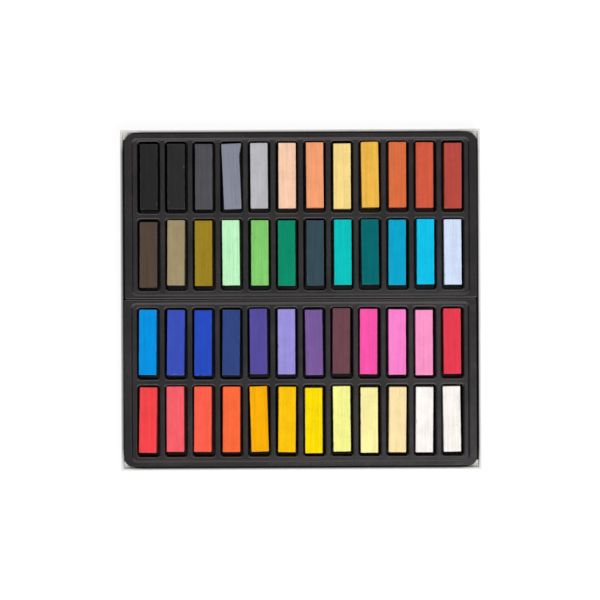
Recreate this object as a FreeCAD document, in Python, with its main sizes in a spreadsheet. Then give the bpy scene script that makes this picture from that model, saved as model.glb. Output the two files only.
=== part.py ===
import FreeCAD, Part
import os
from math import pi

import Sketcher

# A set of half-length square soft pastels: a shallow card box that holds two thermoformed trays,
# one behind the other, each with two rows of pockets and one stick lying in every pocket. The
# trays stand on the floors of their pockets, and their skirts on a card strip at the back and at
# the front.
#
# Frame: X runs along the rows of sticks to the right, Y from the front tray to the back tray,
# Z up. The origin is the middle of the underside of the box. Lengths are in millimetres, angles
# in degrees.

SIZES = [
    # alias, value, meaning
    ("stick_side", 8.7, "square section of a stick"),
    ("stick_length", 32.7, "length of a half stick"),
    ("stick_edge", 0.35, "rounding of a stick's worn edges"),
    ("splay_length", 6.0, "splayed corner of the blue-grey stick, along the stick"),
    ("splay_width", 1.4, "splayed corner of the blue-grey stick, across the stick"),
    ("sheet_gauge", 0.5, "thickness of the trays' plastic sheet"),
    ("stick_stand", 1.0, "how far a stick stands above the trays' panel"),
    ("side_gap", 1.15, "gap beside a stick at its pocket's mouth"),
    ("back_gap", 0.9, "gap behind a stick at its pocket's mouth"),
    ("front_gap", 2.3, "gap in front of a stick at its pocket's mouth"),
    ("pocket_draft", 2.0, "slope of the pocket walls from upright"),
    ("pocket_corner", 1.3, "corner radius of a pocket, seen from above"),
    ("pocket_lip", 0.8, "rounding of a pocket's upper edge"),
    ("pocket_foot", 0.5, "rounding between a pocket's walls and floor"),
    ("web_across", 2.85, "wall between neighbouring pockets of a row"),
    ("web_along", 2.9, "wall between the two rows of a tray"),
    ("panel_side", 2.9, "sunken panel beside the pockets"),
    ("panel_back", 1.4, "sunken panel behind the pockets of the back tray"),
    ("panel_end", 2.3, "sunken panel at the seam and in front of the pockets"),
    ("panel_corner", 2.6, "corner radius of the sunken panel"),
    ("step_depth", 1.0, "how far the panel lies below the rim"),
    ("step_slope", 35.0, "slope of the step from upright"),
    ("step_lip", 0.7, "rounding from the rim into the step"),
    ("step_foot", 0.3, "rounding from the step into the panel"),
    ("rim_side", 3.85, "rim and skirt left and right of the panel"),
    ("rim_back", 2.75, "rim and skirt at the back of the back tray"),
    ("rim_seam", 1.9, "rim and skirt of either tray at the seam"),
    ("rim_front", 2.65, "rim and skirt at the front of the front tray"),
    ("rim_round", 0.6, "rounding from the rim into the skirt"),
    ("tray_corner", 4.8, "corner radius of a tray at the foot of its skirt"),
    ("seam_corner", 1.4, "the same at the seam, where the trays are cut apart"),
    ("skirt_depth", 1.8, "how far a tray's skirt turns down from its rim"),
    ("skirt_draft", 3.0, "slope of the skirt from upright"),
    ("tray_clearance", 0.35, "gap between the trays and the side and back walls of the box"),
    ("front_slit", 0.5, "gap between the front tray and the front wall of the box"),
    ("seam_gap", 0.15, "gap between the two trays"),
    ("back_tray_shift", 0.2, "how far the back tray has slid to the right"),
    ("front_tray_shift", -0.3, "how far the front tray has slid to the right"),
    ("board", 0.8, "thickness of the greyboard"),
    ("paper", 0.2, "thickness of the covering and lining paper"),
    ("wall_above_rim", 0.3, "how far the walls of the box stand above the trays"),
    ("support_width", 3.4, "width of the card strips under the trays' skirts"),
    ("support_card", 0.4, "thickness of the strips' card"),
    ("corner_slit", 0.15, "slit between the folded-up walls of the blank"),
    ("stay_leg", 12.0, "reach of a corner stay along each wall"),
    ("stay_paper", 0.1, "thickness of the corner stays"),
    ("stay_margin", 0.8, "distance of a corner stay from the rim and the base"),
]

# Colours of the sticks, left to right.
BACK_TRAY_ROWS = [
    ["black", "lamp_black", "dark_grey", "blue_grey", "light_grey", "pale_peach",
     "salmon", "naples_yellow", "golden_ochre", "burnt_orange", "red_orange", "brick_red"],
    ["dark_brown", "khaki", "olive_ochre", "mint", "light_green", "emerald",
     "slate_teal", "turquoise", "dark_teal", "cerulean", "sky_cyan", "ice_blue"],
]
FRONT_TRAY_ROWS = [
    ["azure", "cobalt", "ultramarine", "navy", "violet", "lavender",
     "purple", "plum", "hot_pink", "pink", "light_pink", "crimson"],
    ["red", "coral_rose", "vermilion", "orange_red", "amber", "yellow_orange",
     "yellow", "lemon", "pale_yellow", "cream", "white", "warm_white"],
]
COLUMNS = len(BACK_TRAY_ROWS[0])
ROWS = len(BACK_TRAY_ROWS)

# Sticks that don't lie square in their pockets: degrees anticlockwise, seen from above.
LEANS = {
    "blue_grey": 2.4,
    "light_grey": 0.3,
    "salmon": 0.3,
    "golden_ochre": 0.7,
    "dark_brown": -0.4,
    "khaki": -0.5,
    "mint": 0.4,
    "cerulean": -0.3,
    "dark_teal": 0.5,
    "ice_blue": 0.3,
    "azure": -0.6,
    "cobalt": -0.9,
    "ultramarine": -0.4,
    "navy": -0.6,
    "violet": 0.3,
    "purple": 0.6,
    "plum": -0.4,
    "hot_pink": -0.4,
    "crimson": 0.3,
    "red": -1.1,
    "vermilion": -0.4,
    "orange_red": -0.3,
    "amber": 1.5,
    "yellow_orange": -0.6,
    "lemon": 0.4,
    "cream": -0.7,
    "white": -0.6,
    "warm_white": 0.7,
}

# Sticks that lie off the others' line: millimetres to the right and towards the back.
NUDGES = {
    "black": (0.2, -0.4),
    "lamp_black": (0.0, -0.3),
    "dark_grey": (0.0, -0.4),
    "blue_grey": (0.0, -0.3),
    "pale_peach": (0.2, 0.0),
    "salmon": (0.2, 0.2),
    "naples_yellow": (0.0, -0.4),
    "golden_ochre": (0.1, 0.3),
    "burnt_orange": (0.0, 0.2),
    "red_orange": (-0.3, 0.0),
    "brick_red": (0.0, -0.4),
    "dark_brown": (-0.2, -0.6),
    "khaki": (-0.2, 0.4),
    "olive_ochre": (-0.3, 0.1),
    "mint": (-0.4, 0.3),
    "light_green": (0.2, 0.2),
    "emerald": (-0.2, 0.0),
    "slate_teal": (0.2, 0.0),
    "turquoise": (0.2, 0.3),
    "dark_teal": (0.0, 0.4),
    "cerulean": (-0.3, 0.1),
    "sky_cyan": (0.0, 0.4),
    "ice_blue": (-0.2, 0.2),
    "azure": (-0.2, 0.1),
    "cobalt": (0.0, -0.1),
    "ultramarine": (-0.2, -0.3),
    "navy": (0.0, -0.2),
    "violet": (-0.2, 0.3),
    "lavender": (0.0, 0.1),
    "purple": (-0.1, -0.3),
    "plum": (-0.3, 0.4),
    "hot_pink": (-0.5, 0.0),
    "pink": (0.0, -0.3),
    "light_pink": (-0.4, -0.6),
    "crimson": (-0.2, 0.0),
    "red": (-0.2, 0.0),
    "coral_rose": (-0.4, 0.4),
    "vermilion": (-0.5, 0.3),
    "orange_red": (0.0, 0.2),
    "amber": (0.0, 0.3),
    "yellow_orange": (0.1, 0.0),
    "yellow": (-0.4, -0.6),
    "lemon": (-0.2, 0.2),
    "pale_yellow": (-0.3, -0.5),
    "cream": (0.0, -0.3),
    "white": (-0.4, -0.4),
    "warm_white": (-0.5, -0.1),
}

# Sizes that follow from the sheet, as expressions.
POCKET_WIDTH = "(Sizes.stick_side + 2 * Sizes.side_gap)"
POCKET_LENGTH = "(Sizes.stick_length + Sizes.back_gap + Sizes.front_gap)"
POCKET_DEPTH = "(Sizes.stick_side - Sizes.stick_stand)"
COLUMN_PITCH = f"({POCKET_WIDTH} + Sizes.web_across)"
ROW_PITCH = f"({POCKET_LENGTH} + Sizes.web_along)"
COLUMNS_SPAN = f"({COLUMNS - 1} * {COLUMN_PITCH})"
ROWS_SPAN = f"({ROWS - 1} * {ROW_PITCH})"
BLOCK_WIDTH = f"({COLUMNS_SPAN} + {POCKET_WIDTH})"
BLOCK_LENGTH = f"({ROWS_SPAN} + {POCKET_LENGTH})"
PANEL_TOP = f"(Sizes.sheet_gauge + {POCKET_DEPTH})"
RIM_TOP = f"({PANEL_TOP} + Sizes.step_depth)"
SKIRT_FOOT = f"({RIM_TOP} - Sizes.skirt_depth)"
SIDE_BORDER = "(Sizes.panel_side + Sizes.rim_side)"
# What a tray has at its back, at the seam and at its front: panel and rim.
BACK_BORDER = "(Sizes.panel_back + Sizes.rim_back)"
SEAM_BORDER = "(Sizes.panel_end + Sizes.rim_seam)"
FRONT_BORDER = "(Sizes.panel_end + Sizes.rim_front)"
# The same ends with the panel alone and with the radius of the tray's corners.
BACK_END = (BACK_BORDER, "Sizes.panel_back", "Sizes.tray_corner")
SEAM_END = (SEAM_BORDER, "Sizes.panel_end", "Sizes.seam_corner")
FRONT_END = (FRONT_BORDER, "Sizes.panel_end", "Sizes.tray_corner")
BACK_TRAY_LENGTH = f"({BACK_BORDER} + {BLOCK_LENGTH} + {SEAM_BORDER})"
FRONT_TRAY_LENGTH = f"({SEAM_BORDER} + {BLOCK_LENGTH} + {FRONT_BORDER})"
TRAYS_LENGTH = f"({BACK_TRAY_LENGTH} + Sizes.seam_gap + {FRONT_TRAY_LENGTH})"
INSIDE_WIDTH = f"({BLOCK_WIDTH} + 2 * {SIDE_BORDER} + 2 * Sizes.tray_clearance)"
INSIDE_LENGTH = f"({TRAYS_LENGTH} + Sizes.tray_clearance + Sizes.front_slit)"
BOARD_WIDTH = f"({INSIDE_WIDTH} + 2 * Sizes.paper + 2 * Sizes.board)"
BOARD_LENGTH = f"({INSIDE_LENGTH} + 2 * Sizes.paper + 2 * Sizes.board)"
BOX_WIDTH = f"({BOARD_WIDTH} + 2 * Sizes.paper)"
BOX_LENGTH = f"({BOARD_LENGTH} + 2 * Sizes.paper)"
BASE_TOP = "(Sizes.paper + Sizes.board)"
TRAY_FOOT = f"({BASE_TOP} + Sizes.paper)"
BOX_HEIGHT = f"({TRAY_FOOT} + {RIM_TOP} + Sizes.wall_above_rim)"
BACK_EDGE = f"({INSIDE_LENGTH} / 2 - Sizes.tray_clearance)"
FRONT_EDGE = f"(Sizes.front_slit - {INSIDE_LENGTH} / 2)"
BACK_TRAY_PLACE = ("Sizes.back_tray_shift", f"({BACK_EDGE} - {BACK_BORDER} - {BLOCK_LENGTH} / 2)")
FRONT_TRAY_PLACE = ("Sizes.front_tray_shift", f"({FRONT_EDGE} + {FRONT_BORDER} + {BLOCK_LENGTH} / 2)")

NOTHING = "0"
UP = FreeCAD.Vector(0, 0, 1)
QUARTER_TURN = 90
NEAR = 1e-4


def make_sheet(doc):
    sheet = doc.addObject("Spreadsheet::Sheet", "Sizes")
    for row, (alias, value, meaning) in enumerate(SIZES, start=1):
        sheet.set(f"A{row}", meaning)
        sheet.set(f"B{row}", str(value))
        sheet.setAlias(f"B{row}", alias)
    doc.recompute()


def value_of(doc, expression):
    """The number that an expression gives now."""
    return float(doc.Sizes.evalExpression(expression))


def bind(thing, **expressions):
    """Ties properties of an object to expressions; a double underscore stands for a dot."""
    for name, expression in expressions.items():
        thing.setExpression(name.replace("__", "."), expression)


def origin_part(body, role):
    """A plane or axis of the body's own origin, as a link."""
    return next(item for item in body.Origin.OriginFeatures if item.Role == role), [""]


def level_sketch(body, name, height):
    """An empty sketch parallel to the body's XY plane."""
    sketch = body.newObject("Sketcher::SketchObject", name)
    sketch.AttachmentSupport = origin_part(body, "XY_Plane")
    sketch.MapMode = "FlatFace"
    bind(sketch, AttachmentOffset__Base__z=height)
    return sketch


def constrain(sketch, kind, *where, size=None):
    """Adds a constraint to a sketch, with its size tied to an expression."""
    if size is None:
        sketch.addConstraint(Sketcher.Constraint(kind, *where))
        return
    now = value_of(sketch.Document, size)
    index = sketch.addConstraint(Sketcher.Constraint(kind, *where, now))
    sketch.setExpression(f"Constraints[{index}]", size)


def polygon(sketch, points):
    """Closed run of straight lines through points."""
    first = sketch.GeometryCount
    for start, end in zip(points, points[1:] + points[:1]):
        sketch.addGeometry(Part.LineSegment(FreeCAD.Vector(*start, 0), FreeCAD.Vector(*end, 0)))
    count = len(points)
    for number in range(count):
        following = first + (number + 1) % count
        constrain(sketch, "Coincident", first + number, 2, following, 1)
    return first


def centred_rectangle(sketch, width, length):
    """Rectangle about the sketch's origin."""
    x = value_of(sketch.Document, width) / 2
    y = value_of(sketch.Document, length) / 2
    south = polygon(sketch, [(-x, -y), (x, -y), (x, y), (-x, y)])
    east, north, west = south + 1, south + 2, south + 3
    for side in (south, north):
        constrain(sketch, "Horizontal", side)
    for side in (east, west):
        constrain(sketch, "Vertical", side)
    constrain(sketch, "Symmetric", south, 1, north, 1, -1, 1)
    constrain(sketch, "DistanceX", south, 1, south, 2, size=width)
    constrain(sketch, "DistanceY", east, 1, east, 2, size=length)


def rounded_rectangle(sketch, half_width, front, back, front_radius, back_radius):
    """Rectangle with round corners, given by how far its sides lie from the sketch's origin."""
    doc = sketch.Document
    x = value_of(doc, half_width)
    south, north = -value_of(doc, front), value_of(doc, back)
    f, b = value_of(doc, front_radius), value_of(doc, back_radius)
    sides = [
        ((f - x, south), (x - f, south)),
        ((x, south + f), (x, north - b)),
        ((x - b, north), (b - x, north)),
        ((-x, north - b), (-x, south + f)),
    ]
    corners = [(x - f, south + f, f), (x - b, north - b, b), (b - x, north - b, b), (f - x, south + f, f)]
    for start, end in sides:
        sketch.addGeometry(Part.LineSegment(FreeCAD.Vector(*start, 0), FreeCAD.Vector(*end, 0)))
    for turn, (east, up, radius) in enumerate(corners, start=-1):
        circle = Part.Circle(FreeCAD.Vector(east, up, 0), UP, radius)
        sketch.addGeometry(Part.ArcOfCircle(circle, turn * pi / 2, (turn + 1) * pi / 2))
    for side in range(4):
        corner = 4 + side
        constrain(sketch, "Tangent", side, 2, corner, 1)
        constrain(sketch, "Tangent", corner, 2, (side + 1) % 4, 1)
        constrain(sketch, "Vertical" if side % 2 else "Horizontal", side)
    constrain(sketch, "Equal", 4, 7)
    constrain(sketch, "Equal", 5, 6)
    constrain(sketch, "Radius", 4, size=front_radius)
    constrain(sketch, "Radius", 5, size=back_radius)
    constrain(sketch, "DistanceX", 3, 1, -1, 1, size=half_width)
    constrain(sketch, "DistanceX", -1, 1, 1, 1, size=half_width)
    constrain(sketch, "DistanceY", 0, 1, -1, 1, size=front)
    constrain(sketch, "DistanceY", -1, 1, 2, 1, size=back)


def extrusion(body, kind, name, sketch, length, slope=NOTHING, downwards=False):
    """A pad or pocket of a sketch, whose walls lean inwards by a slope from upright."""
    feature = body.newObject(f"PartDesign::{kind}", name)
    feature.Profile = sketch
    feature.Reversed = downwards
    bind(feature, Length=length, TaperAngle=f"-({slope})")
    sketch.recompute()
    feature.recompute()
    return feature


def level_edges(feature, height, within=None):
    """The edges of a feature that lie level at a height, or those over a sketch's outline."""
    level = value_of(feature.Document, height)
    found = []
    for number, edge in enumerate(feature.Shape.Edges, start=1):
        box = edge.BoundBox
        if max(abs(box.ZMin - level), abs(box.ZMax - level)) > NEAR:
            continue
        if within and not covers(within.Shape.BoundBox, box):
            continue
        found.append(f"Edge{number}")
    return found


def covers(outer, box):
    """Whether a box lies within another, seen from above."""
    return (box.XMin > outer.XMin - NEAR and box.XMax < outer.XMax + NEAR
            and box.YMin > outer.YMin - NEAR and box.YMax < outer.YMax + NEAR)


def fillet(body, name, base, edges, radius):
    feature = body.newObject("PartDesign::Fillet", name)
    feature.Base = (base, edges)
    feature.SupportTransform = True
    bind(feature, Radius=radius)
    feature.recompute()
    return feature


def lies_under(slope, gauge):
    """How far a sloping wall moves out, measured level, when the sheet's gauge is taken off its
    surface and the level at which it is measured drops by the gauge too."""
    return f"({gauge} / cos({slope} * 1 deg) - {gauge} * tan({slope} * 1 deg))"


def tray_block(doc, name, front, back, gauge=NOTHING):
    """A tray's rim, skirt and sunken panel as a solid block, from what it has at its front and
    its back: the sheet's upper face, or its underside where a gauge is given."""
    body = doc.addObject("PartDesign::Body", name)
    rim_top, panel_top = f"({RIM_TOP} - {gauge})", f"({PANEL_TOP} - {gauge})"
    front_border, front_panel, front_corner = front
    back_border, back_panel, back_corner = back
    inset = f"{gauge} / cos(Sizes.skirt_draft * 1 deg)"
    outline = level_sketch(body, name + "_outline", SKIRT_FOOT)
    rounded_rectangle(outline, f"{BLOCK_WIDTH} / 2 + {SIDE_BORDER} - {inset}",
                      f"{BLOCK_LENGTH} / 2 + {front_border} - {inset}",
                      f"{BLOCK_LENGTH} / 2 + {back_border} - {inset}",
                      f"{front_corner} - {inset}", f"{back_corner} - {inset}")
    block = extrusion(body, "Pad", name + "_block", outline, f"({rim_top} - {SKIRT_FOOT})",
                      "Sizes.skirt_draft")
    rim = fillet(body, name + "_rim", block, level_edges(block, rim_top), f"Sizes.rim_round - {gauge}")

    grow = lies_under("Sizes.step_slope", gauge)
    edge = level_sketch(body, name + "_panel_edge", rim_top)
    rounded_rectangle(edge, f"{BLOCK_WIDTH} / 2 + Sizes.panel_side + {grow}",
                      f"{BLOCK_LENGTH} / 2 + {front_panel} + {grow}",
                      f"{BLOCK_LENGTH} / 2 + {back_panel} + {grow}",
                      f"Sizes.panel_corner + {grow}", f"Sizes.panel_corner + {grow}")
    panel = extrusion(body, "Pocket", name + "_panel", edge, "Sizes.step_depth", "Sizes.step_slope")
    lip = fillet(body, name + "_step_lip", panel, level_edges(panel, rim_top, edge),
                 f"Sizes.step_lip - {gauge}")
    fillet(body, name + "_step_foot", lip, level_edges(lip, panel_top), f"Sizes.step_foot + {gauge}")
    return body


def tray(doc, name, front, back, place):
    """A thermoformed tray, with its origin at the middle of its pockets at its foot: one sheet
    drawn into a skirt, a rim and a sunken panel, and down into the pockets."""
    body = tray_block(doc, name, front, back)
    core = tray_block(doc, name + "_core", front, back, "Sizes.sheet_gauge")
    sheet = body.newObject("PartDesign::Boolean", name + "_sheet")
    sheet.Type = "Cut"
    sheet.setObjects([core])
    doc.recompute()
    draw_pockets(body, name)
    bind(body, Placement__Base__x=place[0], Placement__Base__y=place[1], Placement__Base__z=TRAY_FOOT)
    return body


def draw_pockets(body, name):
    """Draws a tray's first pocket down to the tray's foot, and repeats it along and across."""
    underside = f"({PANEL_TOP} - Sizes.sheet_gauge)"
    cup_outline = level_sketch(body, name + "_cup_outline", underside)
    pocket_outline_at(cup_outline, lies_under("Sizes.pocket_draft", "Sizes.sheet_gauge"))
    cup = extrusion(body, "Pad", name + "_cup", cup_outline, underside, "Sizes.pocket_draft",
                    downwards=True)

    mouth = level_sketch(body, name + "_mouth", PANEL_TOP)
    pocket_outline_at(mouth, NOTHING)
    pocket = extrusion(body, "Pocket", name + "_pocket", mouth, POCKET_DEPTH, "Sizes.pocket_draft")
    lip = fillet(body, name + "_lip", pocket, level_edges(pocket, PANEL_TOP, mouth), "Sizes.pocket_lip")
    foot = fillet(body, name + "_foot", lip, level_edges(lip, "Sizes.sheet_gauge", mouth),
                  "Sizes.pocket_foot")

    pattern = body.newObject("PartDesign::LinearPattern", name + "_pockets")
    pattern.Originals = [cup, foot]
    pattern.Direction = origin_part(body, "X_Axis")
    pattern.Direction2 = origin_part(body, "Y_Axis")
    pattern.Occurrences = COLUMNS
    pattern.Occurrences2 = ROWS
    bind(pattern, Length=COLUMNS_SPAN, Length2=ROWS_SPAN)
    body.Tip = pattern


def pocket_outline_at(sketch, grow):
    """Puts the outline of the first pocket, grown all round, in the tray's front left place."""
    bind(sketch, AttachmentOffset__Base__x=f"-{COLUMNS_SPAN} / 2",
         AttachmentOffset__Base__y=f"-{ROWS_SPAN} / 2")
    reach = f"{POCKET_LENGTH} / 2 + {grow}"
    corner = f"Sizes.pocket_corner + {grow}"
    rounded_rectangle(sketch, f"{POCKET_WIDTH} / 2 + {grow}", reach, reach, corner, corner)


def add_box(body, kind, name, corner, size):
    """An additive or subtractive box from its lowest corner and its size, both expressions."""
    box = body.newObject(f"PartDesign::{kind}Box", name)
    box.AttachmentSupport = origin_part(body, "XY_Plane")
    box.MapMode = "FlatFace"
    bind(box, AttachmentOffset__Base__x=corner[0], AttachmentOffset__Base__y=corner[1],
         AttachmentOffset__Base__z=corner[2], Length=size[0], Width=size[1], Height=size[2])
    return box


def stick(doc, colour, x, y):
    """A square stick that lies along Y, with the middle of its underside at its origin."""
    body = doc.addObject("PartDesign::Body", "stick_" + colour)
    side, length = "Sizes.stick_side", "Sizes.stick_length"
    bar = add_box(body, "Additive", colour + "_bar", (f"-{side} / 2", f"-{length} / 2", NOTHING),
                  (side, length, side))
    if colour == "blue_grey":
        bar = splayed_corner(body, colour)
    edges = fillet(body, colour + "_edges", bar, [], "Sizes.stick_edge")
    edges.UseAllEdges = True
    nudge_x, nudge_y = NUDGES.get(colour, (0, 0))
    body.Placement.Rotation = FreeCAD.Rotation(UP, LEANS.get(colour, 0))
    bind(body, Placement__Base__x=f"{x} + {nudge_x}", Placement__Base__y=f"{y} + {nudge_y}",
         Placement__Base__z=f"{TRAY_FOOT} + Sizes.sheet_gauge")
    return body


def splayed_corner(body, colour):
    """Spreads a stick's back right corner to the right, from top to bottom."""
    doc = body.Document
    sketch = level_sketch(body, colour + "_splay_outline", NOTHING)
    x, y = "Sizes.stick_side / 2", "Sizes.stick_length / 2"
    east, north = value_of(doc, x), value_of(doc, y)
    across, along = value_of(doc, "Sizes.splay_width"), value_of(doc, "Sizes.splay_length")
    polygon(sketch, [(east, north), (east + across, north), (east, north - along)])
    constrain(sketch, "Horizontal", 0)
    constrain(sketch, "Vertical", 2)
    constrain(sketch, "DistanceX", -1, 1, 0, 1, size=x)
    constrain(sketch, "DistanceY", -1, 1, 0, 1, size=y)
    constrain(sketch, "DistanceX", 0, 1, 0, 2, size="Sizes.splay_width")
    constrain(sketch, "DistanceY", 2, 1, 2, 2, size="Sizes.splay_length")
    return extrusion(body, "Pad", colour + "_splay", sketch, "Sizes.stick_side")


def sticks(doc, rows, tray_place):
    """One stick in each pocket of a tray, the back row first."""
    made = []
    tray_x, tray_y = tray_place
    for row, colours in enumerate(rows):
        y = f"{tray_y} + {ROWS_SPAN} / 2 - {row} * {ROW_PITCH} + (Sizes.front_gap - Sizes.back_gap) / 2"
        for column, colour in enumerate(colours):
            x = f"{tray_x} + {column} * {COLUMN_PITCH} - {COLUMNS_SPAN} / 2"
            made.append(stick(doc, colour, x, y))
    return made


def box_board(doc):
    """Greyboard blank: a base and four folded-up walls, the front and back ones standing between
    the side ones with a slit at each corner."""
    body = doc.addObject("PartDesign::Body", "box_board")
    height = f"({BOX_HEIGHT} - 2 * Sizes.paper)"
    add_box(body, "Additive", "board_block", (f"-{BOARD_WIDTH} / 2", f"-{BOARD_LENGTH} / 2", "Sizes.paper"),
            (BOARD_WIDTH, BOARD_LENGTH, height))
    inner_width, inner_length = f"({INSIDE_WIDTH} + 2 * Sizes.paper)", f"({INSIDE_LENGTH} + 2 * Sizes.paper)"
    add_box(body, "Subtractive", "board_inside", (f"-{inner_width} / 2", f"-{inner_length} / 2", BASE_TOP),
            (inner_width, inner_length, height))
    slit = add_box(body, "Subtractive", "board_slit",
                   (f"-{inner_width} / 2", f"-{BOARD_LENGTH} / 2", BASE_TOP),
                   ("Sizes.corner_slit", "Sizes.board", height))
    slits = body.newObject("PartDesign::LinearPattern", "board_slits")
    slits.Originals = [slit]
    slits.Direction = origin_part(body, "X_Axis")
    slits.Direction2 = origin_part(body, "Y_Axis")
    slits.Occurrences = 2
    slits.Occurrences2 = 2
    bind(slits, Length=f"{inner_width} - Sizes.corner_slit", Length2=f"{BOARD_LENGTH} - Sizes.board")
    body.Tip = slits
    return body


def corner_stay(doc, name, side_x, side_y, quarter_turns):
    """L-shaped strip of tape round one corner of the blank, with its origin at the corner."""
    body = doc.addObject("PartDesign::Body", name)
    low = "Sizes.paper + Sizes.stay_margin"
    height = f"{BOX_HEIGHT} - 2 * Sizes.paper - 2 * Sizes.stay_margin"
    reach = "(Sizes.stay_leg + Sizes.stay_paper)"
    add_box(body, "Additive", name + "_leg_x", ("-Sizes.stay_leg", NOTHING, low),
            (reach, "Sizes.stay_paper", height))
    add_box(body, "Additive", name + "_leg_y", (NOTHING, "-Sizes.stay_leg", low),
            ("Sizes.stay_paper", reach, height))
    body.Placement.Rotation = FreeCAD.Rotation(UP, quarter_turns * QUARTER_TURN)
    bind(body, Placement__Base__x=f"{side_x} * {BOARD_WIDTH} / 2",
         Placement__Base__y=f"{side_y} * {BOARD_LENGTH} / 2")
    return body


def corner_stays(doc):
    corners = [
        ("corner_stay_back_right", 1, 1, 0),
        ("corner_stay_back_left", -1, 1, 1),
        ("corner_stay_front_left", -1, -1, 2),
        ("corner_stay_front_right", 1, -1, 3),
    ]
    return [corner_stay(doc, *corner) for corner in corners]


def ring(body, name, low, height, outer, inner):
    """Upright frame between two rectangles about the origin, each a width and a length."""
    sketch = level_sketch(body, name + "_outline", low)
    centred_rectangle(sketch, *outer)
    centred_rectangle(sketch, *inner)
    return extrusion(body, "Pad", name, sketch, height)


def box_wrap(doc, stays):
    """Covering paper: pasted under the base and up the walls, turned over the rim and down the
    inside to the base, with the corner stays pressed into its inner face."""
    body = doc.addObject("PartDesign::Body", "wrap_paper")
    outside = (BOX_WIDTH, BOX_LENGTH)
    board = (BOARD_WIDTH, BOARD_LENGTH)
    board_inside = (f"({INSIDE_WIDTH} + 2 * Sizes.paper)", f"({INSIDE_LENGTH} + 2 * Sizes.paper)")
    inside = (INSIDE_WIDTH, INSIDE_LENGTH)
    add_box(body, "Additive", "wrap_under", (f"-{BOX_WIDTH} / 2", f"-{BOX_LENGTH} / 2", NOTHING),
            (BOX_WIDTH, BOX_LENGTH, "Sizes.paper"))
    ring(body, "wrap_outside", NOTHING, BOX_HEIGHT, outside, board)
    ring(body, "wrap_rim", f"{BOX_HEIGHT} - Sizes.paper", "Sizes.paper", outside, inside)
    ring(body, "wrap_inside", BASE_TOP, f"{BOX_HEIGHT} - {BASE_TOP}", board_inside, inside)
    bed = doc.addObject("Part::Compound", "stay_beds")
    bed.Links = stays
    wrap = doc.addObject("Part::Cut", "box_wrap")
    wrap.Base = body
    wrap.Tool = bed
    return wrap


def base_liner(doc):
    """Paper pasted on the base between the walls."""
    body = doc.addObject("PartDesign::Body", "base_liner")
    add_box(body, "Additive", "liner_sheet", (f"-{INSIDE_WIDTH} / 2", f"-{INSIDE_LENGTH} / 2", BASE_TOP),
            (INSIDE_WIDTH, INSIDE_LENGTH, "Sizes.paper"))
    return body


def rim_support(doc, name, wall):
    """Strip of card folded into a channel, two legs and a ledge between them, that stands on the
    liner along the back wall or, for a wall of -1, the front wall, under the skirt there."""
    body = doc.addObject("PartDesign::Body", name)
    west, south = f"-{INSIDE_WIDTH} / 2", "-Sizes.support_width / 2"
    add_box(body, "Additive", name + "_strip", (west, south, NOTHING),
            (INSIDE_WIDTH, "Sizes.support_width", SKIRT_FOOT))
    add_box(body, "Subtractive", name + "_hollow", (west, f"{south} + Sizes.support_card", NOTHING),
            (INSIDE_WIDTH, "Sizes.support_width - 2 * Sizes.support_card",
             f"{SKIRT_FOOT} - Sizes.support_card"))
    bind(body, Placement__Base__y=f"{wall} * ({INSIDE_LENGTH} - Sizes.support_width) / 2",
         Placement__Base__z=TRAY_FOOT)
    return body


def check(doc, nodes):
    """Stops if any object failed or any sub-part isn't one sound solid."""
    for thing in doc.Objects:
        if {"Invalid", "Error"} & set(thing.State):
            raise RuntimeError(f"{thing.Label} failed: {thing.State}")
    for node in nodes:
        if node.Shape.isNull() or not node.Shape.isValid() or len(node.Shape.Solids) != 1:
            raise RuntimeError(f"{node.Label} isn't one sound solid")


def main():
    doc = FreeCAD.newDocument("PastelBox")
    make_sheet(doc)
    stays = corner_stays(doc)
    nodes = [box_board(doc), box_wrap(doc, stays), base_liner(doc)] + stays
    nodes.append(rim_support(doc, "rim_support_back", 1))
    nodes.append(rim_support(doc, "rim_support_front", -1))
    nodes.append(tray(doc, "tray_back", SEAM_END, BACK_END, BACK_TRAY_PLACE))
    nodes.append(tray(doc, "tray_front", FRONT_END, SEAM_END, FRONT_TRAY_PLACE))
    nodes += sticks(doc, BACK_TRAY_ROWS, BACK_TRAY_PLACE)
    nodes += sticks(doc, FRONT_TRAY_ROWS, FRONT_TRAY_PLACE)
    doc.recompute()
    check(doc, nodes)
    os.makedirs("parts", exist_ok=True)
    for node in nodes:
        node.Shape.exportStep(f"parts/{node.Label}.step")
        box = node.Shape.BoundBox
        print(f"{node.Label}: {node.Shape.Volume:.1f} mm3, z {box.ZMin:.2f} to {box.ZMax:.2f}")


main()
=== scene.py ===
import math
import random

import bpy
import numpy as np
from mathutils import Matrix, Vector, noise


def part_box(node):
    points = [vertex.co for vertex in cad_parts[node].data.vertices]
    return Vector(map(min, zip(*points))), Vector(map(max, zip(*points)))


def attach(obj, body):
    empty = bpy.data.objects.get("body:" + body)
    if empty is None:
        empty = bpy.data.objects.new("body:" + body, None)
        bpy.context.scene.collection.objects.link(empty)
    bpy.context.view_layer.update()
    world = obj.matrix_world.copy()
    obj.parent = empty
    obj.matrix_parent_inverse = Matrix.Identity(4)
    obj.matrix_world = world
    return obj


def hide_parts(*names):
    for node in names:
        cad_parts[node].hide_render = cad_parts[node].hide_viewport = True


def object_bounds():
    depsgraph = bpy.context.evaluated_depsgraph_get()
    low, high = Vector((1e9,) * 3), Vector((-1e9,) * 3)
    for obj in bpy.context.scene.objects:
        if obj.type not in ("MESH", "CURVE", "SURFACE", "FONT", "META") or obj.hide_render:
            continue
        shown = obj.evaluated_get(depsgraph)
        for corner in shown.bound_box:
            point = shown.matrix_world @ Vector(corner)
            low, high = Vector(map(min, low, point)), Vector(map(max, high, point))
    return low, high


# Looks of a boxed set of half-length soft pastels: the sticks' worn surfaces, the paper folded
# round the card box, every material, and the photograph's light and view. Lengths are in metres
# in the frame of the CAD model, and in millimetres where a name ends in _MM or in a material.

MM = 0.001

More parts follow.
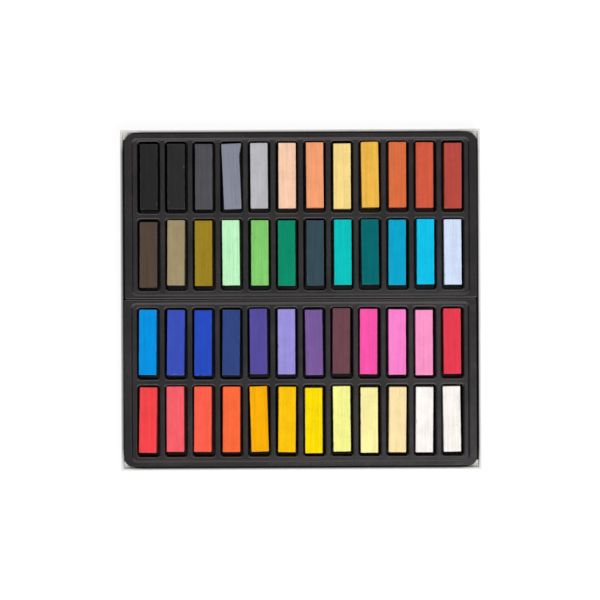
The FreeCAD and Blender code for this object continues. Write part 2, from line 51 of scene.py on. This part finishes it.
# Colours of the sticks, as they look in plain light: red, green and blue from 0 to 255.
STICK_COLOURS = {
    "black": (40, 40, 40), "lamp_black": (45, 45, 45), "dark_grey": (80, 80, 85),
    "blue_grey": (135, 140, 155), "light_grey": (185, 185, 190), "pale_peach": (250, 205, 175),
    "salmon": (245, 160, 115), "naples_yellow": (250, 220, 140), "golden_ochre": (240, 185, 75),
    "burnt_orange": (220, 110, 65), "red_orange": (210, 90, 65), "brick_red": (185, 75, 65),
    "dark_brown": (85, 70, 60), "khaki": (160, 145, 110), "olive_ochre": (155, 130, 35),
    "mint": (190, 245, 195), "light_green": (130, 205, 110), "emerald": (10, 140, 105),
    "slate_teal": (55, 75, 85), "turquoise": (10, 195, 190), "dark_teal": (5, 105, 110),
    "cerulean": (10, 165, 205), "sky_cyan": (15, 195, 235), "ice_blue": (210, 225, 250),
    "azure": (5, 145, 225), "cobalt": (60, 80, 185), "ultramarine": (40, 75, 190),
    "navy": (50, 70, 130), "violet": (85, 75, 155), "lavender": (155, 145, 220),
    "purple": (120, 90, 155), "plum": (110, 70, 80), "hot_pink": (250, 85, 170),
    "pink": (250, 130, 205), "light_pink": (250, 150, 200), "crimson": (230, 60, 80),
    "red": (245, 70, 75), "coral_rose": (245, 95, 105), "vermilion": (250, 95, 75),
    "orange_red": (250, 105, 60), "amber": (250, 175, 5), "yellow_orange": (250, 195, 10),
    "yellow": (250, 220, 5), "lemon": (245, 245, 145), "pale_yellow": (250, 240, 165),
    "cream": (250, 225, 170), "white": (250, 244, 240), "warm_white": (247, 241, 236),
}

# All other colours are linear. Plastic of the trays: clean, under a film of dust on the back and
# front rims and on the sunken panel, and with a painted highlight on roundings that face front and
# back.
CLEAN_PLASTIC = (0.0049, 0.0043, 0.0046)
BACK_RIM_DUST = (0.031, 0.026, 0.0275)
FRONT_RIM_DUST = (0.043, 0.036, 0.038)
PANEL_DUST = (0.044, 0.038, 0.040)
PAINTED_HIGHLIGHT_PLASTIC = (0.090, 0.080, 0.082)

# Papers: clean, and soiled where hands touch them. A near-black painted shade covers any of them.
WRAP_PAPER = ((0.80, 0.79, 0.765), (0.66, 0.63, 0.58))
LINER_PAPER = ((0.78, 0.77, 0.75), (0.62, 0.59, 0.54))
SUPPORT_CARD = ((0.84, 0.82, 0.79), (0.72, 0.69, 0.64))
PAINTED_SHADE_COLOUR = (0.04, 0.037, 0.035)

GREYBOARD = (0.33, 0.31, 0.28)
GREYBOARD_FLECKS = (0.12, 0.11, 0.10)
KRAFT_TAPE = (0.50, 0.37, 0.23)
FLOOR_PAINT = (0.9, 0.9, 0.9)
WHITE = (1, 1, 1)


def linear(colour):
    """Linear light of a colour given from 0 to 255."""
    shares = [part / 255 for part in colour]
    return [s / 12.92 if s <= 0.04045 else ((s + 0.055) / 1.055) ** 2.4 for s in shares]


def lerp(a, b, share):
    return [x + (y - x) * share for x, y in zip(a, b)]


def link_object(name, data):
    """New object in the scene."""
    obj = bpy.data.objects.new(name, data)
    bpy.context.scene.collection.objects.link(obj)
    return obj


def dress(obj, material):
    obj.data.materials.clear()
    obj.data.materials.append(material)


# ---------------------------------------------------------------------------------------------
# Materials. Noises and cells are scaled by how many they are to a millimetre.


class Graph:
    """A node material that is put together from small steps, each giving an output socket."""

    def __init__(self, name):
        self.material = bpy.data.materials.new(name)
        self.material.use_nodes = True
        self.tree = self.material.node_tree
        self.shader = self.tree.nodes["Principled BSDF"]

    def put(self, socket, value):
        if isinstance(value, bpy.types.NodeSocket):
            self.tree.links.new(value, socket)
        else:
            socket.default_value = value

    def add(self, kind, output, inputs, **settings):
        node = self.tree.nodes.new("ShaderNode" + kind)
        for name, value in settings.items():
            setattr(node, name, value)
        for name, value in inputs.items():
            self.put(node.inputs[name], value)
        return node.outputs[output]

    def millimetres(self, offset=(0, 0, 0)):
        """Coordinates on the object in millimetres, moved along by an offset."""
        place = self.add("TexCoord", "Object", {})
        return self.stretched(place, (1 / MM, 1 / MM, 1 / MM), offset)

    def stretched(self, at, scale, offset=(0, 0, 0)):
        return self.add("Mapping", "Vector", {"Vector": at, "Scale": scale, "Location": offset})

    def part(self, vector, axis):
        return self.add("SeparateXYZ", axis, {"Vector": vector})

    def attribute(self, name):
        return self.add("Attribute", "Fac", {}, attribute_name=name)

    def noise(self, at, per_mm, detail=2.0, roughness=0.5):
        """Soft noise about 0, from roughly -0.5 to 0.5."""
        value = self.add("TexNoise", "Fac", {"Vector": at, "Scale": per_mm, "Detail": detail,
                                             "Roughness": roughness})
        return self.math("SUBTRACT", value, 0.5)

    def cells(self, at, per_mm):
        return self.add("TexVoronoi", "Distance", {"Vector": at, "Scale": per_mm})

    def math(self, operation, a, b=0.0, clamp=False):
        return self.add("Math", 0, {0: a, 1: b}, operation=operation, use_clamp=clamp)

    def times(self, a, b, clamp=False):
        return self.math("MULTIPLY", a, b, clamp)

    def sum(self, *terms):
        """Sum of sockets times factors, and of plain numbers."""
        total = 0.0
        for term in terms:
            if isinstance(term, tuple):
                term = self.times(*term)
            total = self.math("ADD", total, term)
        return total

    def rise(self, value, low, high, start=0.0, end=1.0):
        """Smooth step from 0 to 1 as a value goes from low to high."""
        return self.add("MapRange", "Result", {"Value": value, "From Min": low, "From Max": high,
                                               "To Min": start, "To Max": end},
                        interpolation_type="SMOOTHSTEP")

    def fall(self, value, low, high):
        """Smooth step from 1 to 0 as a value goes from low to high."""
        return self.rise(value, low, high, 1.0, 0.0)

    def mix(self, share, a, b):
        colours = {6: a if isinstance(a, bpy.types.NodeSocket) else (*a, 1),
                   7: b if isinstance(b, bpy.types.NodeSocket) else (*b, 1)}
        return self.add("Mix", 2, {0: share, **colours}, data_type="RGBA")

    def shaded(self, colour, value):
        """A colour made lighter or darker by a value about 1."""
        return self.add("HueSaturation", "Color", {"Color": (*colour, 1), "Value": value})

    def relief(self, height_mm):
        """Bump whose height is given in millimetres."""
        normal = self.add("Bump", "Normal", {"Height": height_mm, "Distance": MM,
                                             "Strength": 1.0})
        self.put(self.shader.inputs["Normal"], normal)

    def finish(self, colour, roughness, **plain):
        self.put(self.shader.inputs["Base Color"], colour)
        self.put(self.shader.inputs["Roughness"], roughness)
        for name, value in plain.items():
            self.put(self.shader.inputs[name.replace("_", " ")], value)
        return self.material


def pastel_material(name, colour, rng):
    """Dry pressed chalk: mottled, streaked along the stick, pitted with the pits painted dark as
    shade, dusty at worn edges.
    """
    g = Graph("pastel_" + name)
    at = g.millimetres([rng.uniform(0, 400) for _ in range(3)])
    base = linear(colour)
    dusty = lerp(base, WHITE, 0.10)
    pit_shade = [part * 0.6 for part in base]
    cloud = g.noise(at, 0.16, 3)
    streak = g.noise(g.stretched(at, (1, 0.035, 1)), 0.95, 4, 0.65)
    scratch = g.rise(g.noise(g.stretched(at, (1, 0.02, 1)), 2.2, 2), 0.13, 0.24)
    grain = g.noise(at, 5.0, 3, 0.65)
    holes = g.times(g.fall(g.cells(at, 1.25), 0.12, 0.2), g.rise(g.noise(at, 0.7), -0.02, 0.1))
    tone = g.sum(1.0, (cloud, 0.26), (streak, 0.52), (scratch, 0.10), (grain, 0.22))
    # Painted shade: the pits are coloured darker, as their hollows would be shaded.
    body = g.mix(g.times(holes, 0.8), g.shaded(base, tone), pit_shade)
    smudge = g.rise(g.sum(g.attribute("wear"), (g.noise(at, 0.9, 4), 0.7)), 0.4, 1.0)
    skin = g.mix(g.times(smudge, 0.75), body, dusty)
    g.relief(g.sum((grain, 0.07), (streak, 0.09), (cloud, 0.1), (holes, -0.1)))
    return g.finish(skin, g.sum(0.9, (grain, 0.15)), Specular_IOR_Level=0.06)


def tray_material(front_edge, back_edge, rim_level):
    """Black thermoformed sheet: satin, with a soft skin texture and a film of dust on top, which is
    thicker on the sunken panel and on the front rims and is left off along the front edge as painted
    shade, and with a painted highlight on the roundings that face front and back, short of the
    outermost edges. The outermost edges of the trays and the level of their rims are given in
    millimetres."""
    g = Graph("tray_plastic")
    at = g.millimetres()
    normal = g.add("NewGeometry", "Normal", {})
    upward = g.rise(g.part(normal, "Z"), 0.1, 0.6)
    endwise = g.math("ABSOLUTE", g.part(normal, "Y"))
    # Painted highlight: roundings that face front or back are coloured lighter, short of the
    # outermost edges.
    painted_highlight = g.times(g.rise(endwise, 0.1, 0.45), g.fall(endwise, 0.8, 0.97))
    lengthwise = g.part(at, "Y")
    for side, edge in ((1, back_edge), (-1, -front_edge)):
        outward = g.times(lengthwise, side)
        painted_highlight = g.times(painted_highlight, g.fall(outward, edge - 1.3, edge - 0.9))
    sunken = g.fall(g.part(at, "Z"), rim_level - 0.8, rim_level - 0.2)
    patches = g.rise(g.noise(at, 0.045, 4, 0.6), -0.12, 0.16)
    powder = g.rise(g.noise(at, 1.7, 4, 0.7), -0.1, 0.2)
    specks = g.times(g.fall(g.cells(at, 0.62), 0.035, 0.08), g.rise(g.noise(at, 0.12, 2), 0.0, 0.12))
    settled = g.sum((g.times(patches, powder), 0.75), 0.1, (specks, 0.5))
    dust = g.times(upward, settled, clamp=True)
    # Painted shade: the dust is left off the outermost strip of the front edge, which stays black
    # like the shaded slit beside it.
    dust = g.times(dust, g.rise(lengthwise, front_edge + 0.7, front_edge + 1.2))
    rim_dust = g.mix(g.fall(lengthwise, -50, -10), BACK_RIM_DUST, FRONT_RIM_DUST)
    dusted = g.mix(dust, CLEAN_PLASTIC, g.mix(sunken, rim_dust, PANEL_DUST))
    colour = g.mix(g.times(painted_highlight, 0.8), dusted, PAINTED_HIGHLIGHT_PLASTIC)
    skin = g.noise(at, 1.5, 2)
    waves = g.noise(at, 0.10, 2)
    g.relief(g.sum((skin, 0.035), (waves, 0.35)))
    return g.finish(colour, g.sum(0.30, (patches, 0.06), (dust, 0.18), (skin, 0.10)),
                    Specular_IOR_Level=0.24)


def paper_material(name, colours, painted_shade_to=None):
    """Matt paper on board: faint fibre texture, soiled patches where hands touch it, and near-black
    painted shade where the mesh has it, or on everything up to a distance left and right, in
    millimetres."""
    g = Graph(name)
    clean, soiled = colours
    at = g.millimetres()
    fibres = g.noise(g.stretched(at, (1, 0.45, 1)), 2.6, 4, 0.65)
    cloud = g.noise(at, 0.06, 3)
    touched = g.rise(g.noise(at, 0.11, 5, 0.65), 0.03, 0.22)
    tone = g.sum(1.0, (fibres, 0.05), (cloud, 0.05))
    # Painted shade: a near-black colour laid over the paper, by the mesh's attribute or within a
    # distance left and right.
    if painted_shade_to is None:
        painted_shade = g.attribute("painted_shade")
    else:
        aside = g.math("ABSOLUTE", g.part(at, "X"))
        painted_shade = g.fall(aside, painted_shade_to - 1, painted_shade_to + 1)
    skin = g.mix(g.times(touched, 0.5), g.shaded(clean, tone), soiled)
    skin = g.mix(g.times(painted_shade, 0.95), skin, PAINTED_SHADE_COLOUR)
    g.relief(g.sum((fibres, 0.03), (cloud, 0.1)))
    return g.finish(skin, g.sum(0.82, (fibres, 0.15)), Specular_IOR_Level=0.3)


def greyboard_material():
    """Raw recycled board: grey-brown pulp with darker flecks."""
    g = Graph("greyboard")
    at = g.millimetres()
    pulp = g.noise(at, 0.8, 5, 0.7)
    flecks = g.rise(g.noise(g.stretched(at, (1, 0.3, 1)), 3.0, 2), 0.12, 0.2)
    colour = g.mix(g.times(flecks, 0.6), g.shaded(GREYBOARD, g.sum(1.0, (pulp, 0.5))),
                   GREYBOARD_FLECKS)
    g.relief(g.sum((pulp, 0.06), (flecks, 0.02)))
    return g.finish(colour, g.sum(0.9, (pulp, 0.1)), Specular_IOR_Level=0.25)


def tape_material():
    """Brown gummed paper tape: upright kraft fibres."""
    g = Graph("stay_tape")
    at = g.millimetres()
    fibres = g.noise(g.stretched(at, (0.3, 0.3, 1)), 3.0, 4, 0.6)
    colour = g.shaded(KRAFT_TAPE, g.sum(1.0, (fibres, 0.4)))
    g.relief(g.sum((fibres, 0.03)))
    return g.finish(colour, g.sum(0.6, (fibres, 0.2)))


# ---------------------------------------------------------------------------------------------
# Sticks

# Grid lines of a stick's faces: their distances from its edges, and their pitch in between.
NEAR_EDGE_MM = [0.0, 0.13, 0.28, 0.46, 0.68, 0.95, 1.3]
PITCH_MM = 0.75

# Rounding of the edges: its mean, how far it swings, and the least and the most of it.
EDGE_MM, EDGE_SWING_MM, EDGE_LEAST_MM, EDGE_MOST_MM = 0.33, 0.30, 0.2, 0.7

# Roughness: how deep the faces dip, and above which height over the underside they do in full.
DIP_MM, FLAT_FOOT_MM = 0.075, 1.2

# Dusty edges: how far the dust reaches in from an edge. The ends are a little dusty all over.
DUSTY_EDGE_MM, END_DUST, END_LAYER_MM = 0.42, 0.22, 0.02

# Chips along the edges: the fewest and most of them, and the least and largest radius.
CHIPS, CHIP_MM, CHIP_DUST = (5, 9), (0.5, 1.25), 0.85

# The blue-grey stick's back right corner is splayed: along and across the stick.
SPLAYED_STICK = "blue_grey"
SPLAY_LENGTH, SPLAY_WIDTH, SPLAY_SPARE = 6.0 * MM, 1.4 * MM, 0.05 * MM


def grid_lines(half):
    """Places from -half to half, closer together near both ends."""
    inner = half - NEAR_EDGE_MM[-1] * MM
    count = max(2, round(2 * inner / (PITCH_MM * MM)))
    low = [-half + gap * MM for gap in NEAR_EDGE_MM[:-1]]
    middle = [inner * (2 * step / count - 1) for step in range(count + 1)]
    return low + middle + [-place for place in reversed(low)]


def block_lattice(half):
    """Points and faces of a block's surface, from grid lines along its three axes."""
    lines = [grid_lines(h) for h in half]
    last = [len(line) - 1 for line in lines]
    index, points, faces = {}, [], []

    def corner(cell):
        if cell not in index:
            index[cell] = len(points)
            points.append([lines[axis][cell[axis]] for axis in range(3)])
        return index[cell]

    for axis in range(3):
        u, v = (axis + 1) % 3, (axis + 2) % 3
        for end in (0, last[axis]):
            for i in range(last[u]):
                for j in range(last[v]):
                    loop = []
                    for a, b in ((0, 0), (1, 0), (1, 1), (0, 1)):
                        cell = [0, 0, 0]
                        cell[axis], cell[u], cell[v] = end, i + a, j + b
                        loop.append(corner(tuple(cell)))
                    faces.append(loop if end else loop[::-1])
    return np.array(points), faces


def noise_at(points, per_mm, seed):
    """Noise from about -1 to 1 at each point."""
    shift = Vector((seed * 17.3, seed * 5.1, seed * 9.7))
    return np.array([noise.noise(Vector(p) * (per_mm / MM) + shift) for p in points])


def worn_block(points, half, rng, splayed):
    """Rounds, roughens and chips a block, and says how worn each point is."""
    half = np.array(half)
    seed = rng.uniform(1, 60)
    depth = half - np.abs(points)
    to_edge = np.sort(depth, axis=1)[:, 1]
    radius = EDGE_MM + EDGE_SWING_MM * noise_at(points, 0.30, seed)
    radius = np.clip(radius, EDGE_LEAST_MM, EDGE_MOST_MM) * MM
    heart = np.clip(points, -(half - radius[:, None]), half - radius[:, None])
    out = points - heart
    out /= np.linalg.norm(out, axis=1)[:, None]
    lifted = np.clip((points[:, 2] + half[2]) / (FLAT_FOOT_MM * MM), 0, 1)
    rough = 0.5 + 0.5 * noise_at(points, 0.22, seed + 3) + 0.35 * noise_at(points, 0.8, seed + 7)
    dip = DIP_MM * MM * np.clip(rough, 0, 1.4) * lifted
    shaped = heart + out * (radius - dip)[:, None]
    wear = np.exp(-to_edge / (DUSTY_EDGE_MM * MM)) * (0.75 + 0.5 * noise_at(points, 0.35, seed + 11))
    wear += END_DUST * (np.abs(points[:, 1]) > half[1] - END_LAYER_MM * MM)

    for _ in range(rng.randint(*CHIPS)):
        axis = rng.choice((0, 1, 1, 2))
        spot = np.array([rng.choice((-1, 1)) * h for h in half])
        spot[axis] = rng.uniform(-half[axis], half[axis])
        size = rng.uniform(*CHIP_MM) * MM
        away = spot / np.abs(half)
        away[axis] *= 0.3
        centre = spot + away / np.linalg.norm(away) * size * rng.uniform(0.35, 0.6)
        if centre[2] < -half[2]:
            continue
        to_point = shaped - centre
        distance = np.linalg.norm(to_point, axis=1)
        inside = distance < size
        shaped[inside] = centre + to_point[inside] / distance[inside, None] * size
        wear[inside] = CHIP_DUST

    if splayed:
        spread = np.clip((shaped[:, 1] - half[1]) / SPLAY_LENGTH + 1, 0, 1)
        share = np.clip(shaped[:, 0] / half[0], 0, 1) ** 1.5
        shaped[:, 0] += (SPLAY_WIDTH - SPLAY_SPARE) * spread * share
    return shaped, np.clip(wear, 0, 1)


def heading(node):
    """How far a stick is turned from lying along Y: from the facing of its long sides."""
    turn = total = 0.0
    for face in node.data.polygons:
        n = face.normal
        if abs(n.x) > 0.99:
            turn += face.area * math.atan2(n.y * n.x, n.x * n.x)
            total += face.area
    return turn / total


def make_stick(name, colour, lattices):
    """A worn stick in place of its plain solid, lying as the solid does."""
    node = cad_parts["stick_" + name]
    rng = random.Random("stick " + name)
    yaw = heading(node)
    across = Vector((math.cos(yaw), math.sin(yaw), 0))
    along = Vector((-math.sin(yaw), math.cos(yaw), 0))
    left_side = min(v.co.dot(across) for v in node.data.vertices)
    lengthwise = [v.co.dot(along) for v in node.data.vertices]
    low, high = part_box("stick_" + name)
    half_side = (high[2] - low[2]) / 2
    half_length = (max(lengthwise) - min(lengthwise)) / 2
    half = tuple(round(h, 6) for h in (half_side, half_length, half_side))
    if half not in lattices:
        lattices[half] = block_lattice(half)
    points, faces = lattices[half]
    shaped, wear = worn_block(points, half, rng, name == SPLAYED_STICK)

    mesh = bpy.data.meshes.new("pastel_" + name)
    mesh.from_pydata(shaped.tolist(), [], faces)
    mesh.shade_smooth()
    mesh.attributes.new("wear", "FLOAT", "POINT").data.foreach_set("value", wear.astype(np.float32))
    stick = link_object("pastel_" + name, mesh)
    place = (across * (left_side + half_side) + along * (min(lengthwise) + half_length)
             + Vector((0, 0, low[2] + half_side)))
    stick.matrix_world = Matrix.Translation(place) @ Matrix.Rotation(yaw, 4, "Z")
    dress(stick, pastel_material(name, colour, rng))
    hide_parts("stick_" + name)
    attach(stick, "stick_" + name)


# ---------------------------------------------------------------------------------------------
# Card box

PAPER = 0.2 * MM
BOARD = 0.8 * MM
WALL = BOARD + 2 * PAPER
TRAY_CORNER_MM = 4.8

# Outer radius of the paper's folds at the base and the corners, and the least radius inside.
FOLD, INNER_FOLD = 0.33 * MM, 0.1 * MM

# Rounding of the walls' top edges, and heights on a wall as shares of its own.
RIM_ROUND = 0.5 * MM
RISE = (0.1, 0.25, 0.4, 0.55, 0.7, 0.85)

# Corner flaps: how far they reach along the front and back walls, how far they stand out, and
# over what length they step down.
FLAP, FLAP_STEP, FLAP_RAMP = 11 * MM, 0.06 * MM, 0.15 * MM

# The four sides from the right on, anticlockwise seen from above, as the directions they face,
# with the signs of the corner before each.
SIDES = ((1, 0), (0, 1), (-1, 0), (0, -1))
CORNERS = ((1, -1), (1, 1), (-1, 1), (-1, -1))

# How fast the painted shade on the top edge of each side fades from dark on the inside to none on
# the outside: the lower the power, the wider the painted shade.
PAINTED_SHADE_POWERS = (2.4, 1.4, 0.65, 1.5)

ARC_STEPS = 5
CORNER_STEPS = 4
SIDE_STEPS = 16


def arc(centre_in, centre_up, radius, start, end):
    """Points of a wall's profile on an arc, as inward distance and height."""
    degrees = [start + (end - start) * step / ARC_STEPS for step in range(ARC_STEPS + 1)]
    angles = [math.radians(angle) for angle in degrees]
    return [(centre_in - radius * math.cos(a), centre_up + radius * math.sin(a)) for a in angles]


def wall_profile(height):
    """Profile of the covering paper over one wall: outside, rim, inside and back along its inner
    face, as distance in from the outer face and height above the underside."""
    inner = RIM_ROUND - PAPER
    rise = [height * share for share in RISE]
    foot = PAPER + BOARD
    outside = arc(FOLD, FOLD, FOLD, -90, 0) + [(0.0, z) for z in rise]
    rim = (arc(RIM_ROUND, height - RIM_ROUND, RIM_ROUND, 0, 90)
           + arc(WALL - RIM_ROUND, height - RIM_ROUND, RIM_ROUND, 90, 180))
    inside = [(WALL, z) for z in reversed(rise[1:])] + [(WALL, foot), (WALL - PAPER, foot)]
    back = ([(WALL - PAPER, z) for z in rise[1:]]
            + arc(WALL - RIM_ROUND, height - RIM_ROUND, inner, 180, 90)
            + arc(RIM_ROUND, height - RIM_ROUND, inner, 90, 0)
            + [(PAPER, z) for z in reversed(rise)] + [(PAPER, PAPER)])
    return outside + rim + inside + back


def wall_stations(half):
    """Stations round the box. On a corner: the side after it and the angle faced. On a side: the
    side and how far along it the station lies."""
    stations = []
    for side in range(len(SIDES)):
        for step in range(CORNER_STEPS + 1):
            stations.append((side, math.radians(90 * (side - 1 + step / CORNER_STEPS)), None))
        free = (half.x if SIDES[side][1] else half.y) - FLAP
        inner = [free * (2 * step / SIDE_STEPS - 1) for step in range(SIDE_STEPS + 1)]
        for place in [-free - FLAP_RAMP] + inner + [free + FLAP_RAMP]:
            stations.append((side, None, place))
    return stations


def corner_point(half, side, angle, inward):
    radius = max(FOLD - inward, INNER_FOLD)
    sign_x, sign_y = CORNERS[side]
    return (sign_x * (half.x - inward - radius) + radius * math.cos(angle),
            sign_y * (half.y - inward - radius) + radius * math.sin(angle))


def side_point(half, side, place, inward):
    face_x, face_y = SIDES[side]
    out = (half.y if face_y else half.x) - inward
    return face_x * out - face_y * place, face_y * out + face_x * place


def make_wrap(half, height):
    """Covering paper folded round the board, with its corner flaps lying over the ends of the front
    and back walls, and with painted shade on the inner side of its top edges, fading outwards."""
    profile = wall_profile(height)
    stations = wall_stations(half)
    points, painted_shade = [], []
    for side, angle, place in stations:
        for step, (inward, up) in enumerate(profile):
            if place is None:
                x, y = corner_point(half, side, angle, inward)
                painted_shade.append(0)
            else:
                off_flaps = SIDES[side][1] and abs(place) <= half.x - FLAP
                outside = step < len(profile) / 2 and inward < RIM_ROUND and up > FOLD
                recess = FLAP_STEP if off_flaps and outside else 0.0
                x, y = side_point(half, side, place, inward + recess)
                # Painted shade: the paper darkens towards the inner side of each wall's top, more
                # widely on some sides.
                painted_shade.append((inward / WALL) ** PAINTED_SHADE_POWERS[side])
            points.append((x, y, up))
    rows, count = len(profile), len(stations)
    faces = []
    for station in range(count):
        following = (station + 1) % count
        for row in range(rows - 1):
            faces.append([station * rows + row, following * rows + row,
                          following * rows + row + 1, station * rows + row + 1])
    faces.append([station * rows for station in reversed(range(count))])
    faces.append([station * rows + rows - 1 for station in range(count)])
    mesh = bpy.data.meshes.new("wrap_paper")
    mesh.from_pydata(points, [], faces)
    mesh.shade_smooth()
    mesh.set_sharp_from_angle(angle=math.radians(40))
    mesh.attributes.new("painted_shade", "FLOAT", "POINT").data.foreach_set("value", painted_shade)
    wrap = link_object("wrap_paper", mesh)
    dress(wrap, paper_material("wrap_paper", WRAP_PAPER))
    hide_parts("box_wrap")
    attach(wrap, "box")


# ---------------------------------------------------------------------------------------------
# Stage, lights and camera

# The floor is seen as this share of plain white light, and otherwise as lit and shadowed.
FLOOR_HALF, FLOOR_LEVEL = 4.0, -0.1 * MM
FLOOR_WHITE_SHARE, FLOOR_WHITE_LIGHT = 0.82, 1.06
SEEN_RAYS = ("Is Camera Ray", "Is Glossy Ray", "Is Transmission Ray")

WORLD_LIGHT = 0.36

# Lamps: place, width and length, and watts. They all point at the origin.
LAMPS = {
    "back_softbox": ((0.0, 0.85, 0.75), (1.2, 0.25), 3.1),
    "front_softbox": ((0.0, -0.85, 0.75), (1.0, 0.15), 5.0),
    "glare_softbox": ((0.40, -0.50, 1.25), (0.3, 0.3), 6.0),
}

# The camera looks straight down, from this height over the tops of the sticks.
CAMERA_HEIGHT = 0.7
CAMERA_ASIDE = (-0.375 * MM, -0.125 * MM)
CAMERA_ROLL = -0.27
SENSOR_MM, LENS_MM = 36, 84


def make_floor():
    """Pale studio floor: white to the camera, but for the object's soft shadow."""
    mesh = bpy.data.meshes.new("floor")
    corners = [(x * FLOOR_HALF, y * FLOOR_HALF, FLOOR_LEVEL)
               for x, y in ((-1, -1), (1, -1), (1, 1), (-1, 1))]
    mesh.from_pydata(corners, [], [(0, 1, 2, 3)])
    floor = link_object("floor", mesh)
    g = Graph("floor")
    g.finish((*FLOOR_PAINT, 1), 0.9, Specular_IOR_Level=0.0)
    seen = g.add("LightPath", SEEN_RAYS[0], {})
    for ray in SEEN_RAYS[1:]:
        seen = g.math("MAXIMUM", seen, g.add("LightPath", ray, {}))
    white = g.add("Emission", "Emission", {"Color": (*WHITE, 1), "Strength": FLOOR_WHITE_LIGHT})
    plain = g.add("MixShader", "Shader", {0: g.times(seen, FLOOR_WHITE_SHARE),
                                          1: g.shader.outputs["BSDF"], 2: white})
    g.tree.links.new(plain, g.tree.nodes["Material Output"].inputs["Surface"])
    dress(floor, g.material)


def make_world():
    """White studio that is seen at full strength and lights the object at less."""
    world = bpy.data.worlds.new("studio")
    world.use_nodes = True
    bpy.context.scene.world = world
    tree = world.node_tree
    paths = tree.nodes.new("ShaderNodeLightPath")
    seen = paths.outputs[SEEN_RAYS[0]]
    for ray in SEEN_RAYS[1:]:
        either = tree.nodes.new("ShaderNodeMath")
        either.operation = "MAXIMUM"
        tree.links.new(seen, either.inputs[0])
        tree.links.new(paths.outputs[ray], either.inputs[1])
        seen = either.outputs[0]
    strength = tree.nodes.new("ShaderNodeMapRange")
    strength.inputs["To Min"].default_value = WORLD_LIGHT
    strength.inputs["To Max"].default_value = 1.0
    tree.links.new(seen, strength.inputs["Value"])
    back = tree.nodes["Background"]
    back.inputs["Color"].default_value = (*WHITE, 1)
    tree.links.new(strength.outputs["Result"], back.inputs["Strength"])


def make_lamp(name, place, size, power):
    light = bpy.data.lights.new(name, "AREA")
    light.shape = "RECTANGLE"
    light.size, light.size_y = size
    light.energy = power
    lamp = link_object(name, light)
    lamp.location = place
    lamp.rotation_euler = (-Vector(place)).to_track_quat("-Z", "Y").to_euler()


def make_camera(tops):
    data = bpy.data.cameras.new("camera")
    data.sensor_width = SENSOR_MM
    data.lens = LENS_MM
    camera = link_object("camera", data)
    camera.location = (*CAMERA_ASIDE, CAMERA_HEIGHT + tops)
    camera.rotation_euler = (0, 0, math.radians(CAMERA_ROLL))
    bpy.context.scene.camera = camera


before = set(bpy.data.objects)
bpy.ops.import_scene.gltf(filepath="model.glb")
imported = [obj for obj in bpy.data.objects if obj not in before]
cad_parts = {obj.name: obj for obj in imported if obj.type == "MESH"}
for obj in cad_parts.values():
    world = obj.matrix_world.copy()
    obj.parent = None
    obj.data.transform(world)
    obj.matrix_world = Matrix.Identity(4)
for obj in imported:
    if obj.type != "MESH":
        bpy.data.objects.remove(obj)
CAD_LOW, CAD_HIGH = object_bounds()

lattices = {}
for name, colour in STICK_COLOURS.items():
    make_stick(name, colour, lattices)
make_wrap(CAD_HIGH.xy, CAD_HIGH.z)

front_low, front_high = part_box("tray_front")
back_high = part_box("tray_back")[1]
plastic = tray_material(front_low[1] / MM, back_high[1] / MM, back_high[2] / MM)
for node in ("tray_back", "tray_front"):
    dress(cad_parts[node], plastic)
dress(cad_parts["box_board"], greyboard_material())
dress(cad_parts["base_liner"], paper_material("liner_paper", LINER_PAPER))
# The card is painted near black as shade along the trays' straight edges, where it lies in the slit
# beside their skirts. It is left light where their round corners turn away.
straight = (front_high[0] - front_low[0]) / 2 / MM - TRAY_CORNER_MM
card = paper_material("support_card", SUPPORT_CARD, straight)
for node in ("rim_support_back", "rim_support_front"):
    dress(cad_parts[node], card)
tape = tape_material()
for corner in ("back_left", "back_right", "front_left", "front_right"):
    dress(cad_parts["corner_stay_" + corner], tape)

make_floor()
make_world()
for name, (place, size, power) in LAMPS.items():
    make_lamp(name, place, size, power)
make_camera(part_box("stick_yellow")[1][2])
bpy.context.scene.view_settings.view_transform = "Standard"
